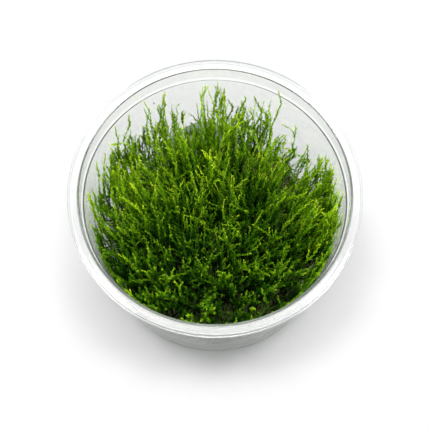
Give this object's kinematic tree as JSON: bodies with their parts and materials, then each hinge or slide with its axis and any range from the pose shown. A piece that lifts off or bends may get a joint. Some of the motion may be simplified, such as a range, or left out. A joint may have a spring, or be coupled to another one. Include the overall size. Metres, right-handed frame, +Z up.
{
  "type": "moss clump",
  "caption": "Clump of aquatic moss: upright branching shoots on a mat of old stems, standing on set nutrient gel in a clear round culture cup.",
  "frame": {"origin": "centre of the circle the cup stands on, at its lowest level", "axes": "+Z up along the cup's axis, +Y towards the lump of gel at the back, +X to the right when seen from the front"},
  "size_m": [0.101, 0.101, 0.059],
  "materials": {
    "clear_polypropylene": "clear thermoformed sheet, smooth",
    "set_nutrient_gel": "cloudy set jelly with a wet skin",
    "old_moss_stems": "brown and olive matted fibres",
    "live_moss": "small overlapping leaves, slightly waxy"
  },
  "bodies": {
    "root": {"cup": "clear_polypropylene", "nutrient_gel": "set_nutrient_gel", "stem_mat": "old_moss_stems", "moss_tuft_01": "live_moss", "moss_tuft_02": "live_moss", "moss_tuft_03": "live_moss", "moss_tuft_04": "live_moss", "moss_tuft_05": "live_moss", "moss_tuft_06": "live_moss", "moss_tuft_07": "live_moss", "moss_tuft_08": "live_moss", "moss_tuft_09": "live_moss", "moss_tuft_10": "live_moss", "moss_tuft_11": "live_moss", "moss_tuft_12": "live_moss", "moss_tuft_13": "live_moss", "moss_tuft_14": "live_moss", "moss_tuft_15": "live_moss", "moss_tuft_16": "live_moss", "moss_tuft_17": "live_moss", "moss_tuft_18": "live_moss", "moss_tuft_19": "live_moss", "moss_tuft_20": "live_moss", "moss_tuft_21": "live_moss", "moss_tuft_22": "live_moss", "moss_tuft_23": "live_moss", "moss_tuft_24": "live_moss", "moss_tuft_25": "live_moss", "moss_tuft_26": "live_moss", "moss_tuft_27": "live_moss", "moss_tuft_28": "live_moss", "moss_tuft_29": "live_moss", "moss_tuft_30": "live_moss", "moss_tuft_31": "live_moss", "moss_tuft_32": "live_moss", "moss_tuft_33": "live_moss", "moss_tuft_34": "live_moss", "moss_tuft_35": "live_moss", "moss_tuft_36": "live_moss"}
  },
  "joints": []
}
